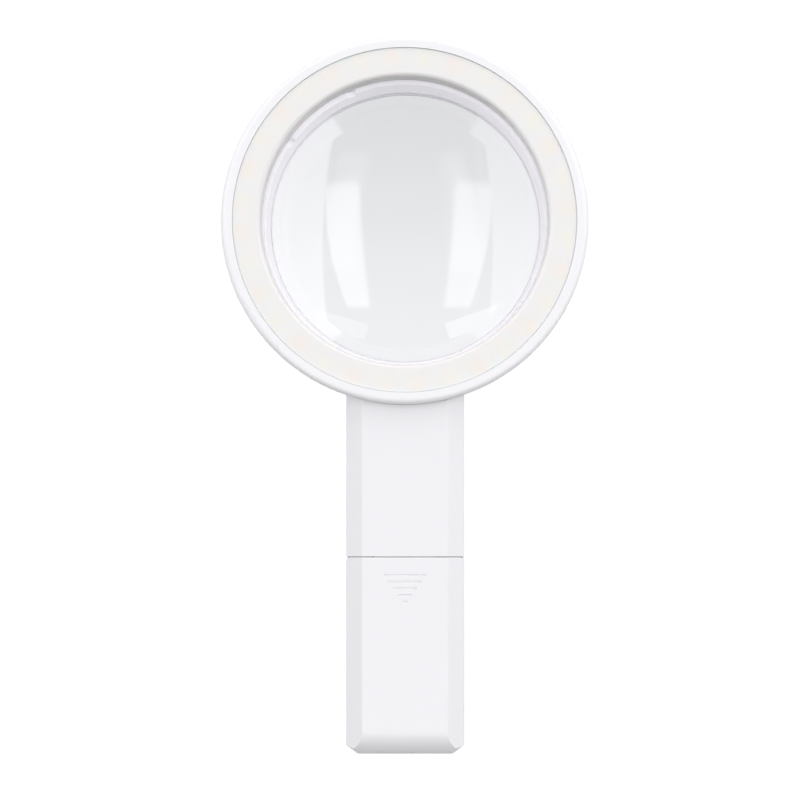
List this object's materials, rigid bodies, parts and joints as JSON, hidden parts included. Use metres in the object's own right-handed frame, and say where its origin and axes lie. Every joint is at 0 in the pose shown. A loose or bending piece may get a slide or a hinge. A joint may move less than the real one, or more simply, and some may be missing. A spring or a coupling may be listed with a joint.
{
  "type": "handheld illuminated magnifier",
  "caption": "Handheld low vision magnifier: large round biconvex lens inside an opal ring light, on a straight bevelled battery handle with a sliding cover.",
  "frame": {"origin": "centre of the footprint on the plane that the magnifier rests on, at the neck between head and handle", "axes": "+Z from the eye side to the lamp side, along the optical axis; +Y from the handle's end to the top of the head; +X across"},
  "size_m": [0.1188, 0.2356, 0.027],
  "materials": {
    "white_shell": "satin moulded ABS",
    "opal_diffuser": "opal, slightly translucent",
    "led_board": "white solder mask",
    "warm_led": "phosphor in a white package",
    "cool_led": "phosphor in a white package",
    "clear_lens": "polished clear acrylic",
    "tray_plastic": "moulded",
    "cell_jacket": "shrink sleeve",
    "plated_steel": "nickel plated",
    "circuit_board": "green solder mask",
    "black_package": "moulded epoxy",
    "button_plastic": "satin",
    "wire_jacket": "PVC",
    "red_wire": "PVC",
    "black_wire": "PVC"
  },
  "bodies": {
    "magnifier_body": {"back_housing": "white_shell", "head_bezel": "white_shell", "light_diffuser": "opal_diffuser", "led_board": "led_board", "warm_leds": "warm_led", "cool_leds": "cool_led", "lens": "clear_lens", "lens_retaining_ring": "white_shell", "handle_front_shell": "white_shell", "battery_tray": "tray_plastic", "cell_left": "cell_jacket", "cell_middle": "cell_jacket", "cell_right": "cell_jacket", "contact_springs": "plated_steel", "positive_terminal": "plated_steel", "negative_terminal": "plated_steel", "upper_bridge_plate": "plated_steel", "lower_bridge_plate": "plated_steel", "control_board": "circuit_board", "driver_chip": "black_package", "chip_resistors": "black_package", "switch_body": "black_package", "led_leads": "wire_jacket", "positive_lead": "red_wire", "negative_lead": "black_wire", "head_screws": "plated_steel", "handle_screws": "plated_steel", "board_screws": "plated_steel", "tray_screws": "plated_steel"},
    "cover": {"battery_cover": "white_shell"},
    "button": {"power_button": "button_plastic"},
    "plunger": {"switch_plunger": "tray_plastic"}
  },
  "joints": [
    {"name": "cover_slide", "type": "slide", "parent": "magnifier_body", "child": "cover", "axis": [0, -1, 0], "range_m": [0, 0.07]},
    {"name": "button_press", "type": "slide", "parent": "magnifier_body", "child": "button", "axis": [0, 0, 1], "range_m": [0, 0.0005], "stiffness_N_per_m": 40},
    {"name": "plunger_press", "type": "slide", "parent": "magnifier_body", "child": "plunger", "axis": [0, 0, 1], "range_m": [0, 0.0005]}
  ],
  "couplings": [
    {"joint": "plunger_press", "follows": "button_press", "ratio": 1}
  ]
}
